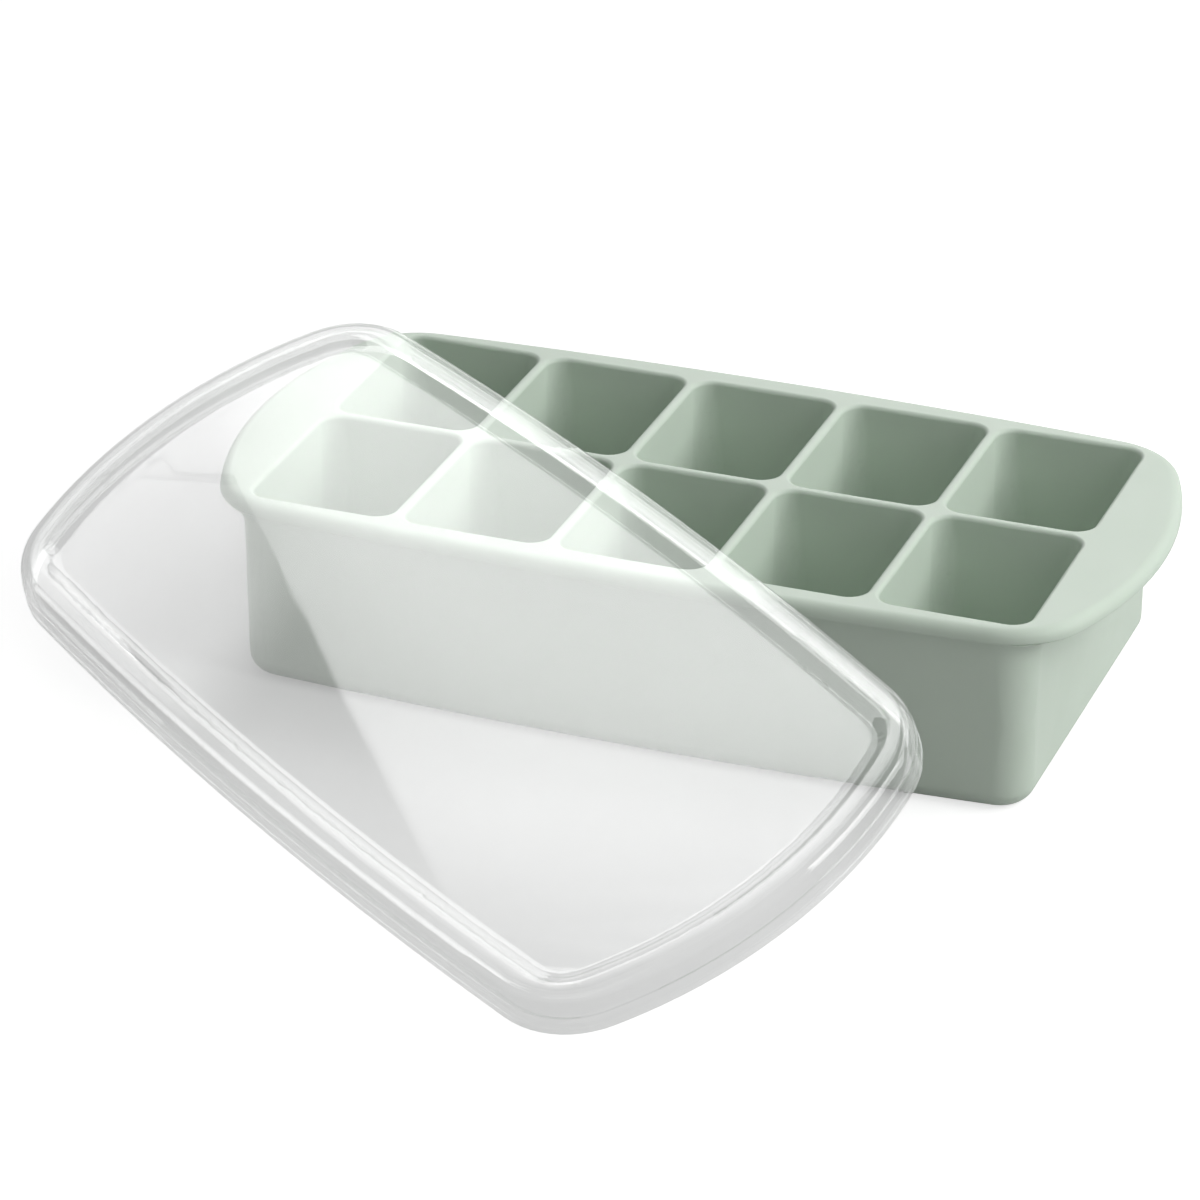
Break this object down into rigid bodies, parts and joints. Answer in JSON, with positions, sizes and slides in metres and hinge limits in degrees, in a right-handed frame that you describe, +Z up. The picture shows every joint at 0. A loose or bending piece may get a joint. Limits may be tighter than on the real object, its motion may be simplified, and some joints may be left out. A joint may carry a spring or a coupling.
{
  "type": "baby food freezer tray",
  "caption": "Soft moulded freezer tray with two rows of deep portion cells and rounded grip flanges, with a clear press-on lid taken off and leaning on it.",
  "frame": {"origin": "middle of the tray's flat underside", "axes": "+X along the tray's length, +Y across it away from the leaning lid, +Z up out of the cells"},
  "size_m": [0.2516, 0.2326, 0.0706],
  "materials": {
    "silicone": "satin sage green silicone",
    "clear_plastic": "clear glossy plastic"
  },
  "bodies": {
    "tray": {"tray": "silicone"},
    "lid": {"lid": "clear_plastic"}
  },
  "joints": [
    {"name": "lid_lift", "type": "slide", "parent": "tray", "child": "lid", "axis": [0, 0, 1], "range_m": [0, 0.1]}
  ]
}
